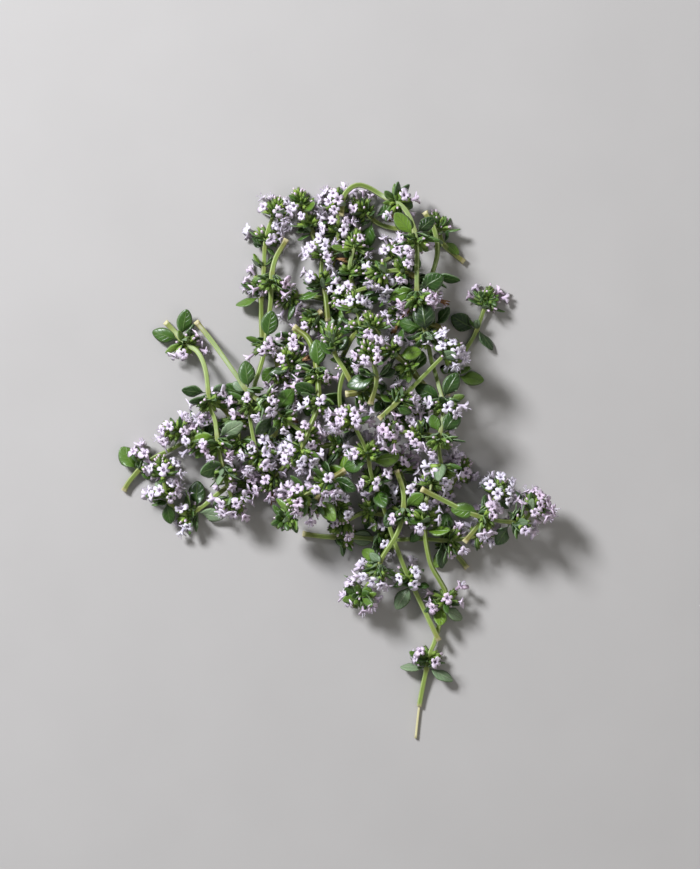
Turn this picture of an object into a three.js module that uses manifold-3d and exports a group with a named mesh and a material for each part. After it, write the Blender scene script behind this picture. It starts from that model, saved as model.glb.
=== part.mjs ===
// Thyme bundle: a loose heap of cut, flowering thyme sprigs lying on a flat surface.
// Millimetres, +Z up. The origin is at the middle of the heap's footprint, on the surface.
// Every sprig is one solid: a square stem, pairs of leaves set crosswise from node to node,
// and whorls of four-lobed florets that stand out of a small core round the stem.
import * as THREE from 'three';
import Module from 'manifold-3d';

const wasm = await Module();
wasm.setup();

// Stem
const STEM_CUT = 1.35; // from the stem's axis to a corner of its square, at the cut end
const STEM_TIP = 0.95; // the same, at the tip
const STEM_STEP = 8; // longest stretch of stem between two rings of corners
const PEELED = 0.55; // thickness left where a stem's bark has been stripped off at the cut end

// Leaves
const LEAF_LENGTH = 9;
const LEAF_WIDTH = 6;
const LEAF_THICK = 0.7;
const LEAF_BELOW = 4.6; // from a whorl's middle down to its pair of leaves
const PETIOLE = 1.3; // length of stem that a leaf grows from
const HEADED_RISE = 0.2; // of a leaf whose heading is known, over its way outwards
const HEADED_FACING = 0.9; // how far such a leaf faces up, unless it says otherwise

// Whorls and heads
const CORE_SIDES = 5;
const CORE_RADIUS = 2.3;
const CORE_HALF = 1.5; // half the core's length along the stem
const CORE_TAPER = 1.3; // length over which the core narrows to the stem
const TOP_RADIUS = 1.3; // of the upper end of a head
const TOP_RISE = 2.3; // from the core up to it
const TOP_POINT = 1.8; // height of the closed point above it
const FLORET_LENGTH = 5;
const FLORET_LEAN = 0.22; // towards the sprig's tip, against its way outwards
const TOP_LEAN = 1.15; // the same, for the upper florets of a head
const THROAT = 1.2; // depth of a floret's throat
const LOBES = [3, 2.9, 2.4, 2.9]; // lower lip, side, upper lip, side, from the floret's axis
const NOTCH = 1.65; // the same, between two lobes
const BUD_LENGTH = 2.6;

// How the sprigs lie
const STEM_ROOM = 1.7; // what a stem keeps clear round its axis
const WHORL_ROOM = 3.8; // what a whorl keeps clear round its middle, with its florets pressed in
const STEM_REST = 0.8; // height of a stem's axis where it lies on the surface
const SAG = 36; // radius in which a stem bends down over what it lies on
const LIE_STEP = 2; // steps in which a stem's way is followed
const EASE_PASSES = 8; // how often its heights are evened out
const CLEAR = 0.35; // gap kept between two sprigs
const SUNK = 0.5; // how far a leaf or floret may press into the surface, where it is cut flat
const MIDDLE = [0.2, -1.3]; // of the footprint, in the coordinates of the ways below

// What a point of a sprig's way carries
const STEM = 0;
const LEAVES = 1;
const WHORL = 2;
const HEAD = 3;
const BUDS = 4;
const BARK = 5; // where the bark begins on a stem that is stripped at its cut end

// Each sprig lies on those before it. Its way runs from the cut end to the tip, as x, y, what
// grows there and, where it is known, the angle of the pair of leaves round the stem. That angle is
// in degrees from level. Elsewhere a pair stands crosswise to the one before it. What is known of
// each of its two leaves follows: its heading seen from above, in degrees from +X, its size and how
// far it faces up.
const SPRIGS = [
  // Back of the heap, lowest layer
  [[-4.5, 69.5, STEM], [-7.5, 75, STEM], [-10, 81.5, WHORL, 20, [235, 0.8, 0.3]], [-13, 89, HEAD]],
  [[24, 79, STEM], [18.5, 79.5, STEM], [13.5, 81.5, LEAVES, 0], [8.5, 86, HEAD]],
  [[2, 67.5, STEM], [9.5, 67.5, WHORL, 60], [16, 67.5, STEM], [21.5, 70.5, HEAD]],
  [[6, 51, STEM], [-2.5, 54, WHORL, 30], [-11, 55.5, STEM], [-17.5, 54.5, HEAD]],
  [[44.5, 67.5, STEM], [40, 71, STEM], [37, 74, LEAVES, 0, [140], [318, 1, 0.2]], [35, 80.5, BUDS]],
  [[8, 48, STEM], [6, 57, WHORL, 80], [4.5, 65, WHORL], [6.5, 74, HEAD]],
  [[28, 52.5, STEM], [18.5, 58.5, WHORL, 10, [285], [50]], [9.5, 57.5, STEM], [2, 54, HEAD]],
  [[-26, 38, STEM], [-26.5, 50, STEM], [-26.3, 58.5, WHORL, 15, [200, 0.9, 0.3], [340, 0.8]],
    [-25.5, 64.5, LEAVES, 0, [135, 0.9, 0.2], [20, 0.6, 0.3]],
    [-24.7, 76.4, WHORL, 0, [170, 0.6], [310, 0.7, 0.3]], [-21, 86, HEAD]],
  // Middle of the heap, lowest layer
  [[-74.5, -12.5, STEM], [-72, -8.5, STEM], [-65.5, -2, WHORL, 5, [125], [320, 0.8]], [-56, 3, STEM],
    [-46, 9, HEAD]],
  [[-5, 50, STEM], [-9.5, 46, WHORL, 40], [-15.5, 38, HEAD]],
  [[1, 32, STEM], [5, 40, STEM], [8, 45, WHORL, 0], [6, 52.5, HEAD]],
  [[30, 24, STEM], [24, 31, WHORL, 60], [17, 37.5, WHORL], [12, 45, HEAD]],
  [[-22, 36, STEM], [-19, 28, WHORL, 30], [-14.5, 19, WHORL], [-17, 8, HEAD]],
  [[8.5, 35.5, STEM], [3, 29, WHORL, 80], [1, 22, STEM], [1.5, 13, HEAD]],
  [[22, -18, STEM], [29, -14, WHORL, 30], [38, -12, WHORL], [43.5, -5, HEAD]],
  [[-20, 10, STEM], [-24, 4, WHORL, 70], [-31, -4, STEM], [-31, -12, HEAD]],
  [[45.5, -39.5, STEM], [40, -32.5, LEAVES, 0], [34.5, -25.5, STEM], [29, -18.5, STEM],
    [24.5, -12, WHORL], [21, -3, HEAD]],
  [[-12, -27.5, STEM], [-4, -28.5, STEM], [4, -28.5, WHORL, 0, [60], [345, 0.8]], [17.5, -29.5, WHORL],
    [29, -29, STEM], [40.5, -29.5, WHORL], [50.5, -27.5, HEAD]],
  [[27, -22, STEM], [19, -21, WHORL, 70], [9.5, -20, WHORL], [1, -24, HEAD]],
  [[-9, 5, STEM], [-6, -1, STEM], [-2.5, -9.5, WHORL, 70], [1, -19, HEAD]],
  [[6.5, 2, STEM], [-1.5, 3.5, WHORL, 50], [-9, 2, STEM], [-16.5, -2.5, WHORL], [-23, -9, HEAD]],
  [[-4, -13, STEM], [-10.5, -18, WHORL, 35], [-18, -22, BUDS]],
  [[-38.5, 2, STEM], [-43, 3.5, STEM], [-49, 5.5, WHORL, 15], [-56.5, 9, HEAD]],
  [[-35.5, -9, STEM], [-41.5, -13.5, STEM], [-47, -18, STEM],
    [-52.5, -20.5, WHORL, 0, [350, 1, 0.5], [86]], [-57.5, -17.5, STEM],
    [-59.5, -12.5, WHORL, 0, [280, 0.8], [130]], [-60.5, -4.5, HEAD]],
  [[44, -30, STEM], [49, -24, STEM], [53, -18, STEM], [56.5, -11.5, HEAD]],
  [[3, 21, STEM], [11, 21.5, WHORL, 30], [18.5, 17.5, WHORL], [26, 13, HEAD]],
  [[37, 44, STEM], [29.5, 46.5, WHORL, 40], [21.5, 49, HEAD]],
  [[-41, 18, STEM], [-35, 11, WHORL, 20], [-33.5, 2.5, HEAD]],
  [[28, 61, STEM], [21.5, 63.5, WHORL, 10], [14, 62.5, HEAD]],
  // Middle layer
  [[27.5, -99, STEM], [29, -86.5, BARK], [32.3, -70, WHORL, 0, [178, 0.9, 0.25], [333, 1, 0.35]],
    [34.5, -64, STEM], [37.8, -49, WHORL, 60, [262], [328, 0.85, 0.4]], [36, -44, STEM],
    [32, -36, STEM], [30, -20.5, WHORL], [33.5, -8, HEAD]],
  [[38.5, 21, STEM], [41.3, 28, LEAVES, 0, [170, 0.7], [350]], [44.5, 36, STEM],
    [48.5, 43, LEAVES, 10, [150], [305, 0.9, 0.4]], [52.5, 54.5, HEAD]],
  [[30.5, 84.5, STEM], [34, 78, STEM], [34.8, 70, STEM], [32.8, 62, LEAVES, 20, [350, 1, 0.3],
    [205, 0.8]], [30.5, 54.5, HEAD]],
  [[11.5, 17.5, STEM], [13.5, 26.5, LEAVES, 15], [11, 35.5, HEAD]],
  [[-6, 21, STEM], [-12, 25, WHORL, 0], [-16.5, 33.5, HEAD]],
  [[-17.5, 75, STEM], [-21.5, 67.5, STEM], [-22.8, 59, WHORL, 0, [310, 0.7, 0.2], [215, 0.6, 0.3]],
    [-23, 52.5, STEM], [-25.3, 36, WHORL, 70, [80], [255, 0.8]], [-27, 29, STEM], [-28.5, 24, STEM],
    [-30, 15.5, WHORL, 0], [-29, 7, STEM], [-27, -1.5, HEAD]],
  [[3, -5, STEM], [-5, -10, WHORL, 55], [-13, -14.5, HEAD]],
  [[-2, 65, STEM], [-0.3, 72, STEM], [0.5, 79.5, WHORL, 0], [0, 89, HEAD]],
  [[38, 5.5, STEM], [27.5, 7.5, WHORL, 20], [17.5, 8.5, HEAD]],
  [[29, -11.5, STEM], [38, -16, STEM], [45, -19.5, STEM], [51.5, -21.5, WHORL, 10, [175], [205]],
    [58, -22.7, STEM], [64.5, -22.3, WHORL, 0, [50, 0.7], [238, 0.9, 0.7]], [68.5, -16.5, HEAD]],
  // Upper layer
  [[-60, 46.5, STEM], [-57, 43.5, STEM], [-52.5, 38.5, WHORL, 0, [78], [162]], [-48.5, 36, STEM],
    [-45.5, 29.5, STEM], [-43.7, 16.5, WHORL, 0, [25, 0.6, 0.5], [174, 0.9, 0.6]], [-42, 12, STEM],
    [-40.5, 1.5, WHORL, 20], [-38.5, -8, WHORL], [-35.5, -17, HEAD]],
  [[-3, 46.5, STEM], [-4, 55.5, STEM], [-5.5, 62, WHORL, 20], [-5, 71, HEAD]],
  [[1.5, 83, STEM], [2.5, 90, STEM], [6.5, 93.7, STEM], [11, 93, STEM],
    [16.5, 89.7, STEM], [22.5, 86.2, WHORL, 0, [332], [245, 0.7]], [26, 80, STEM],
    [27.5, 72, WHORL, 10, [40, 0.8], [130]], [27.5, 63, STEM], [28, 52.5, WHORL, 20, [30], [200]],
    [31.2, 39.5, WHORL, 80, [98, 1.1], [165]], [32.5, 33, STEM], [34.5, 26, STEM],
    [36.5, 16, WHORL, 20, [60], [140]], [35, 3, WHORL, 10, [45], [125]], [36.5, -6, HEAD]],
  [[-49, 46.5, STEM], [-42.5, 38.5, STEM], [-34.5, 27.5, STEM], [-31, 22.5, LEAVES, 0, [97], [142, 0.8]],
    [-23.5, 16.5, WHORL], [-16.5, 11.5, WHORL], [-9.5, 6, HEAD]],
  [[-15, 44.5, STEM], [-10, 40.5, STEM], [-7.5, 33.5, STEM], [-6.5, 26, WHORL, 50, [95], [200]],
    [-6.5, 17, WHORL], [-9.5, 9, STEM], [-13, 0, HEAD]],
  [[35.5, -64.5, STEM], [29, -51, STEM], [24.5, -41.5, WHORL, 0, [240], [350, 1, 0.25]], [20, -30, STEM],
    [15.5, -16, STEM], [12, -7, WHORL], [10, 2, WHORL], [4.5, 13, HEAD]],
  [[20.5, -5, STEM], [23, -13, STEM], [22.5, -21.5, WHORL, 0, [25], [235]], [20.5, -27.5, STEM],
    [15.5, -35.5, STEM], [12.9, -41.6, WHORL, 60, [112, 0.9], [152, 0.85]], [8, -49, HEAD]],
  [[14.5, 12.5, STEM], [23, 20.5, WHORL, 0], [29, 26.5, STEM], [38.5, 36, HEAD]],
  [[6, 23, STEM], [2.5, 29.5, STEM], [-0.5, 34.5, LEAVES, 0, [140], [40]], [-1.5, 40.5, BUDS]],
];
const CROSSWISE = 90; // from one pair of leaves to the next, round the stem

// A number from 0 to 1 that depends only on the three counts given
function draw(sprig, node, item) {
  const x = Math.sin(sprig * 12.9898 + node * 78.233 + item * 37.719) * 43758.5453;
  return x - Math.floor(x);
}

function spread(value, sprig, node, item) {
  return value * (2 * draw(sprig, node, item) - 1);
}

// The way seen from above, in even steps, and how far along it each growing point lies
function layOut(way) {
  const flat = way.map(([x, y]) => new THREE.Vector3(x - MIDDLE[0], y - MIDDLE[1], 0));
  const curve = new THREE.CatmullRomCurve3(flat, false, 'catmullrom', 0.5);
  const length = curve.getLength();
  const steps = Math.ceil(length / LIE_STEP);
  const points = curve.getSpacedPoints(steps);
  const alongOf = (place) => {
    const gaps = points.map((p) => p.distanceTo(place));
    return (gaps.indexOf(Math.min(...gaps)) * length) / steps;
  };
  const bark = way.findIndex(([, , kind]) => kind === BARK);
  const nodes = [];
  let pair = 0;
  way.forEach(([, , kind, angle, ...known], i) => {
    if (kind === STEM || kind === BARK) return;
    pair = angle ?? pair + CROSSWISE;
    nodes.push({ kind, pair, known, at: alongOf(flat[i]) });
  });
  return { points, length, step: length / steps, nodes, bark: bark < 0 ? 0 : alongOf(flat[bark]) };
}

// Room kept round the stem at a distance along it: a ball round each whorl, and little elsewhere
function roomAt(sprig, along) {
  let room = STEM_ROOM;
  for (const node of sprig.nodes) {
    if (node.kind === LEAVES) continue;
    const off = along - node.at;
    room = Math.max(room, Math.sqrt(Math.max(0, WHORL_ROOM ** 2 - off ** 2)));
  }
  return room;
}

// Heights of all ways: each sprig comes to rest on the surface and on the sprigs before it
function settle(sprigs) {
  const lain = [];
  for (const sprig of sprigs) {
    const { points, step } = sprig;
    const rooms = points.map((p, i) => roomAt(sprig, i * step));
    const least = points.map((p, i) => {
      let height = rooms[i] - STEM_ROOM + STEM_REST;
      for (const other of lain) {
        const reach = rooms[i] + other.room;
        const apart = (p.x - other.x) ** 2 + (p.y - other.y) ** 2;
        if (apart < reach ** 2) height = Math.max(height, other.z + Math.sqrt(reach ** 2 - apart));
      }
      return height;
    });
    let heights = least.map((_, i) => Math.max(...least.map((z, k) => (
      z - ((i - k) * step) ** 2 / (2 * SAG)))));
    for (let pass = 0; pass < EASE_PASSES; pass++) {
      heights = heights.map((z, i) => {
        const before = heights[Math.max(0, i - 1)];
        const after = heights[Math.min(heights.length - 1, i + 1)];
        return Math.max(least[i], (before + z + after) / 3);
      });
    }
    points.forEach((p, i) => { p.z = heights[i]; });
    points.forEach((p, i) => lain.push({ x: p.x, y: p.y, z: p.z, room: rooms[i] }));
  }
}

// Place and directions at a distance along a settled sprig
function stationAt({ points, step }, along) {
  const last = points.length - 1;
  const k = Math.min(last - 1, Math.max(0, Math.floor(along / step)));
  const place = points[k].clone().lerp(points[k + 1], along / step - k);
  const ahead = points[Math.min(last, k + 2)];
  const tangent = ahead.clone().sub(points[Math.max(0, k - 1)]).normalize();
  const side = new THREE.Vector3(0, 0, 1).cross(tangent).normalize();
  const top = tangent.clone().cross(side);
  return { place, tangent, side, top };
}

// Direction square to the stem at an angle round it, from level
function outward(station, degrees) {
  const a = THREE.MathUtils.degToRad(degrees);
  return station.side.clone().multiplyScalar(Math.cos(a)).addScaledVector(station.top, Math.sin(a));
}

// A growing solid: corner points and triangles that face out
class Body {
  constructor() {
    this.points = [];
    this.triangles = [];
  }

  // A loop of points, with the angle of its first one, for joining it to another loop
  loop(points, first) {
    const start = this.points.length;
    this.points.push(...points);
    return { at: points.map((_, i) => start + i), first };
  }

  // The skin between two loops, from the lower to the upper
  join(low, high, open = []) {
    const [n, m] = [low.at.length, high.at.length];
    const turn = Math.round(((low.first - high.first) / 360) * m);
    const start = high.first + (turn * 360) / m;
    const upper = (j) => high.at[(((j + turn) % m) + m) % m];
    let [i, j] = [0, 0];
    while (i < n || j < m) {
      const nextLow = low.first + ((i + 1) * 360) / n;
      const nextHigh = start + ((j + 1) * 360) / m;
      const side = Math.min(i, n - 1);
      if (j >= m || (i < n && nextLow <= nextHigh + 1e-6)) {
        if (!open.includes(i)) this.triangles.push([low.at[i % n], low.at[(i + 1) % n], upper(j)]);
        i++;
      } else {
        const owner = n === m ? j : side;
        if (!open.includes(owner)) this.triangles.push([low.at[i % n], upper(j + 1), upper(j)]);
        j++;
      }
    }
  }

  // Closes a loop with a point beyond it
  closeTo(loop, point) {
    this.points.push(point);
    const tip = this.points.length - 1;
    loop.at.forEach((p, i) => this.triangles.push([p, loop.at[(i + 1) % loop.at.length], tip]));
  }

  // Closes the first loop with a flat face
  closeStart(loop) {
    for (let i = 1; i < loop.at.length - 1; i++) {
      this.triangles.push([loop.at[0], loop.at[i + 1], loop.at[i]]);
    }
  }

  solid() {
    const mesh = new wasm.Mesh({
      numProp: 3,
      vertProperties: Float32Array.from(this.points.flatMap((p) => [p.x, p.y, p.z])),
      triVerts: Uint32Array.from(this.triangles.flat()),
    });
    return new wasm.Manifold(mesh);
  }
}

// What grows from a four-cornered patch of the stem or core: loops outwards and a closing point
function sprout(body, patch, growth) {
  let low = { at: patch, first: -135 };
  for (const ring of growth.rings) {
    const high = body.loop(ring, -135);
    body.join(low, high);
    low = high;
  }
  body.closeTo(low, growth.end);
}

// The same as a small solid of its own, to test for room
function probe(corners, growth) {
  const body = new Body();
  const base = body.loop(corners, -135);
  body.closeStart(base);
  sprout(body, base.at, growth);
  return body.solid();
}

// A blade: a flat leaf that widens from its root, arches and runs to a point
function leafGrowth(corners, station, way, traits) {
  const { heading, lift, swing, size, width, droop, facing } = traits;
  const root = corners.reduce((sum, p) => sum.add(p), new THREE.Vector3()).divideScalar(4);
  const up = new THREE.Vector3(0, 0, 1);
  const axis = way.clone();
  if (heading !== undefined) {
    const a = THREE.MathUtils.degToRad(heading);
    axis.set(Math.cos(a), Math.sin(a), HEADED_RISE);
  }
  axis.addScaledVector(station.tangent, swing);
  axis.z = THREE.MathUtils.clamp(axis.z, -0.35, 0.5) + lift;
  axis.normalize();
  const length = LEAF_LENGTH * size;
  const half = (LEAF_WIDTH * size * width) / 2;
  const normal = station.tangent.clone().lerp(up, facing);
  const ring = (along, breadth, turned) => {
    const bend = axis.clone();
    bend.z -= droop * along;
    bend.normalize();
    const face = station.tangent.clone().lerp(normal, turned);
    const right = face.clone().cross(bend).normalize();
    const top = bend.clone().cross(right);
    const middle = root.clone().addScaledVector(way, 0.4).addScaledVector(bend, along * length);
    return [[-1, -1], [1, -1], [1, 1], [-1, 1]].map(([x, y]) => middle.clone()
      .addScaledVector(right, x * breadth).addScaledVector(top, (y * LEAF_THICK) / 2));
  };
  const tip = axis.clone();
  tip.z -= droop;
  tip.normalize();
  const end = root.clone().addScaledVector(way, 0.4).addScaledVector(tip, length);
  return { rings: [ring(0.3, half * 0.92, 0.7), ring(0.68, half * 0.86, 1)], end };
}

// A floret: a tube that opens into four lobes, with a deep throat
function floretGrowth(corners, direction, tangent, size) {
  const root = corners.reduce((sum, p) => sum.add(p), new THREE.Vector3()).divideScalar(4);
  const right = tangent.clone().cross(direction).normalize();
  const up = direction.clone().cross(right);
  const mouth = root.clone().addScaledVector(direction, FLORET_LENGTH * size);
  const rim = [];
  for (let k = 0; k < 8; k++) {
    const a = THREE.MathUtils.degToRad(-135 + 45 * k);
    const reach = k % 2 ? LOBES[(k - 1) / 2] * Math.sqrt(size) : NOTCH;
    rim.push(mouth.clone().addScaledVector(right, Math.cos(a) * reach)
      .addScaledVector(up, Math.sin(a) * reach));
  }
  return { rings: [rim], end: mouth.clone().addScaledVector(direction, -THROAT) };
}

// A closed bud: a point that stands out of its patch
function budGrowth(corners, direction, size) {
  const root = corners.reduce((sum, p) => sum.add(p), new THREE.Vector3()).divideScalar(4);
  return { rings: [], end: root.clone().addScaledVector(direction, BUD_LENGTH * size) };
}

// Rings of corners of one sprig's stem and cores, and the patches that leaves and florets take
function planStem(sprig, index) {
  const rings = [];
  let turn = sprig.nodes[0].pair;
  const addRing = (along, sides, radius, first) => {
    const station = stationAt(sprig, along);
    const points = [];
    for (let i = 0; i < sides; i++) {
      const out = outward(station, first + (i * 360) / sides);
      points.push(station.place.clone().addScaledVector(out, radius));
    }
    rings.push({ along, station, points, first, patches: [] });
  };
  const square = (along, thickness = 1) => {
    const radius = THREE.MathUtils.lerp(STEM_CUT, STEM_TIP, along / sprig.length);
    addRing(along, 4, radius * thickness, turn - 45);
  };
  const grow = (node, kinds) => {
    rings[rings.length - 1].patches = kinds.map(([side, kind, known]) => (
      { side, kind, known, node }));
  };
  const sides = [...Array(CORE_SIDES).keys()];
  if (sprig.bark) {
    square(0, PEELED);
    square(sprig.bark - 1, PEELED);
    square(sprig.bark);
  } else {
    square(0);
  }
  sprig.nodes.forEach(({ kind, pair, known, at }, n) => {
    const closed = kind === HEAD || kind === BUDS;
    const leafAt = kind === LEAVES ? at : at - LEAF_BELOW;
    const from = rings[rings.length - 1].along;
    const start = closed ? at - CORE_HALF - CORE_TAPER : leafAt - PETIOLE / 2;
    const between = Math.ceil((start - from) / STEM_STEP);
    for (let k = 1; k < between; k++) square(from + ((start - from) * k) / between);
    turn = pair;
    square(start);
    if (!closed) {
      grow(n, [[0, 'leaf', known[0]], [2, 'leaf', known[1]]]);
      square(leafAt + PETIOLE / 2);
    }
    if (kind === LEAVES) return;
    const first = pair + spread(180 / CORE_SIDES, index, n, 1);
    addRing(at - CORE_HALF, CORE_SIDES, CORE_RADIUS, first);
    grow(n, sides.map((side) => [side, kind === BUDS ? 'bud' : 'floret']));
    addRing(at + CORE_HALF, CORE_SIDES, CORE_RADIUS, first);
    if (closed) {
      grow(n, sides.map((side) => [side, side % 2 && kind === HEAD ? 'top' : 'topbud']));
      addRing(at + CORE_HALF + TOP_RISE, CORE_SIDES, TOP_RADIUS, first);
    } else {
      square(at + CORE_HALF + CORE_TAPER);
    }
  });
  return rings;
}

// The stem and cores alone, as a solid that leaves and florets of other sprigs keep clear of
function bareStem(rings) {
  const body = new Body();
  const loops = rings.map((ring) => body.loop(ring.points, ring.first));
  body.closeStart(loops[0]);
  for (let i = 0; i + 1 < loops.length; i++) body.join(loops[i], loops[i + 1]);
  const last = rings[rings.length - 1];
  body.closeTo(loops[loops.length - 1], pointBeyond(last));
  return body.solid();
}

function pointBeyond(ring) {
  return ring.station.place.clone().addScaledVector(ring.station.tangent, TOP_POINT);
}

function boxOf(solid) {
  const { min, max } = solid.boundingBox();
  return new THREE.Box3(new THREE.Vector3(...min), new THREE.Vector3(...max));
}

// Ways in which a leaf gives way: its lift and swing, and its size
const LEAF_EASE = [[0, 0, 1], [0.3, 0, 1], [-0.3, 0, 1], [0, 0.35, 1], [0, -0.35, 1], [0.4, 0.3, 0.85],
  [0.4, -0.3, 0.85], [-0.3, 0.4, 0.8], [0.8, 0, 0.8], [0, 0.5, 0.65], [0, -0.5, 0.65], [0.5, 0, 0.6]];
// Ways in which a floret gives way: its lean to the tip, its turn round the stem and its size
const FLORET_EASE = [[0, 0, 1], [0.35, 0, 1], [-0.35, 0, 1], [0, 0.3, 1], [0, -0.3, 1],
  [0.2, 0, 0.8], [-0.4, 0.3, 0.75], [0.5, -0.3, 0.75], [0, 0, 0.6]];

// Everything that may grow from a patch, from the first choice down
function* choices(patch, corners, ring, index) {
  const { station } = ring;
  const { node, side } = patch;
  const item = side * 7 + { leaf: 100, floret: 10, bud: 10, top: 60, topbud: 60 }[patch.kind];
  const step = 360 / ring.points.length;
  const way = outward(station, ring.first + (side + 0.5) * step);
  if (patch.kind === 'leaf') {
    const [heading, grown = 1, facing = HEADED_FACING] = patch.known ?? [];
    const headed = heading !== undefined;
    const traits = {
      heading,
      width: 1 + spread(0.12, index, node, item + 1),
      droop: 0.25 + spread(0.25, index, node, item + 2),
      facing: headed ? facing : 0.35 + 0.6 * draw(index, node, item + 3),
    };
    const size = headed ? grown : 1 + spread(0.13, index, node, item + 4);
    const swing = headed ? 0 : spread(0.3, index, node, item + 5) - 0.1;
    for (const [lift, more, smaller] of LEAF_EASE) {
      yield leafGrowth(corners, station, way, {
        ...traits, lift, swing: swing + more, size: size * smaller,
      });
    }
    return;
  }
  const lean = patch.kind.startsWith('top') ? TOP_LEAN : FLORET_LEAN;
  const across = station.tangent.clone().cross(way);
  if (!patch.kind.endsWith('bud')) {
    const size = 1 + spread(0.1, index, node, item + 1);
    for (const [more, turn, smaller] of FLORET_EASE) {
      const direction = way.clone().addScaledVector(station.tangent, lean + more)
        .addScaledVector(across, turn).normalize();
      yield floretGrowth(corners, direction, station.tangent, size * smaller);
    }
  }
  const direction = way.clone().addScaledVector(station.tangent, lean).normalize();
  for (const size of [1, 0.6, 0.35]) yield budGrowth(corners, direction, size);
}

// Corners of a patch between two rings, from its lower left, seen from outside
function patchCorners(low, high, side) {
  const next = (side + 1) % low.length;
  return [low[side], low[next], high[next], high[side]];
}

function sameFlower(a, b) {
  return a.sprig === b.sprig && a.node === b.node && a.kind !== 'leaf' && b.kind !== 'leaf';
}

// The growth that a patch gets: the first choice that clears the surface and all other pieces
function fit(patch, corners, ring, index, stems, grown) {
  for (const growth of choices(patch, corners, ring, index)) {
    const solid = probe(corners, growth);
    const box = boxOf(solid);
    const room = box.clone().expandByScalar(CLEAR);
    const piece = { sprig: index, node: patch.node, kind: patch.kind, solid, box };
    const sunk = box.min.z < -SUNK;
    const meetsStem = !sunk && stems.some((stem, k) => (
      k !== index && stem.box.intersectsBox(room) && stem.solid.minGap(solid, CLEAR) < CLEAR));
    const meetsPiece = !sunk && !meetsStem && grown.some((other) => (
      !sameFlower(other, piece) && other.box.intersectsBox(room)
      && other.solid.minGap(solid, CLEAR) < (other.sprig === index ? 0.1 : CLEAR)));
    if (!sunk && !meetsStem && !meetsPiece) {
      grown.push(piece);
      return growth;
    }
  }
  return null;
}

// The whole sprig as one solid, cut flat where it presses into the surface
function buildSprig(rings, growths) {
  const body = new Body();
  const loops = rings.map((ring) => body.loop(ring.points, ring.first));
  body.closeStart(loops[0]);
  for (let i = 0; i + 1 < loops.length; i++) {
    const taken = rings[i].patches.filter((patch) => growths.get(patch));
    body.join(loops[i], loops[i + 1], taken.map((patch) => patch.side));
    for (const patch of taken) {
      sprout(body, patchCorners(loops[i].at, loops[i + 1].at, patch.side), growths.get(patch));
    }
  }
  body.closeTo(loops[loops.length - 1], pointBeyond(rings[rings.length - 1]));
  const pieces = body.solid().trimByPlane([0, 0, 1], 0).decompose();
  return pieces.reduce((best, piece) => (piece.volume() > best.volume() ? piece : best));
}

function toGeometry(solid) {
  const mesh = solid.getMesh();
  const geometry = new THREE.BufferGeometry();
  geometry.setAttribute('position', new THREE.BufferAttribute(mesh.vertProperties, 3));
  geometry.setIndex(new THREE.BufferAttribute(mesh.triVerts, 1));
  geometry.computeVertexNormals();
  return geometry;
}

// Greens of stem, leaf and bud, one for each sprig in turn
const GREENS = [0x6f8b3a, 0x55752f, 0x7d9a48, 0x4c6a2c, 0x879c55];

const sprigs = SPRIGS.map(layOut);
settle(sprigs);
const plans = sprigs.map(planStem);
const stems = plans.map((rings) => {
  const solid = bareStem(rings);
  return { solid, box: boxOf(solid) };
});

// Leaves and florets take their room from the top of the heap down, leaves first in each sprig
const grown = [];
const growths = new Map();
for (let index = plans.length - 1; index >= 0; index--) {
  for (const leaves of [true, false]) {
    plans[index].forEach((ring, i) => {
      for (const patch of ring.patches.filter(({ kind }) => (kind === 'leaf') === leaves)) {
        const corners = patchCorners(ring.points, plans[index][i + 1].points, patch.side);
        const growth = fit(patch, corners, ring, index, stems, grown);
        if (growth) growths.set(patch, growth);
      }
    });
  }
}

const bundle = new THREE.Group();
plans.forEach((rings, index) => {
  const geometry = toGeometry(buildSprig(rings, growths));
  const material = new THREE.MeshStandardMaterial({
    color: GREENS[index % GREENS.length], roughness: 0.7, metalness: 0,
  });
  const mesh = new THREE.Mesh(geometry, material);
  mesh.name = `sprig_${String(index + 1).padStart(2, '0')}`;
  bundle.add(mesh);
});

export default bundle;
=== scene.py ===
"""Thyme bundle: the looks of a loose heap of cut, flowering thyme sprigs.

Each sprig of the frame is replaced by its stem and stripped wood, its leaves, its calyces, its
florets and buds, its stamens and its spent florets. Ways, heights and leaves follow the same rules
as the solids, so every piece lies where its solid lies.
"""
import math

import bpy
import numpy as np
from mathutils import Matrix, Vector
from mathutils.bvhtree import BVHTree


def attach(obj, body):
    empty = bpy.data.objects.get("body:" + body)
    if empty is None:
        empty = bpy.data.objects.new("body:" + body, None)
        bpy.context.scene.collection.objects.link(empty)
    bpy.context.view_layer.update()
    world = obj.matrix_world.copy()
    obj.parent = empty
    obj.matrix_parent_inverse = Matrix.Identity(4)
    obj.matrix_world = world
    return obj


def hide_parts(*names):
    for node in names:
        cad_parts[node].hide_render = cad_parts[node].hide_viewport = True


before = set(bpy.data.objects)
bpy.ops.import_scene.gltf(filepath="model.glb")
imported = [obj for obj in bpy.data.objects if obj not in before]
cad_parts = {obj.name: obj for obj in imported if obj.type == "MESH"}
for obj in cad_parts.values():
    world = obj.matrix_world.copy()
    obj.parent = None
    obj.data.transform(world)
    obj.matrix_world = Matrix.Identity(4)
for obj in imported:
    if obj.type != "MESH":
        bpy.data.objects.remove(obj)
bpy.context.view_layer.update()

MM = 0.001

# What the solids have too, in millimetres and degrees. First the stem: its corner radius at the
# cut end and at the tip, and the share of it that peeling leaves.
STEM_CUT = 1.35
STEM_TIP = 0.95
PEELED = 0.55

# Leaves: their size, how far below its whorl a pair grows, the petiole's length, and the rise and
# the facing of a leaf whose heading is known
LEAF_LENGTH = 9.0
LEAF_WIDTH = 6.0
LEAF_BELOW = 4.6
PETIOLE = 1.3
HEADED_RISE = 0.2
HEADED_FACING = 0.9
CROSSWISE = 90.0

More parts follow.
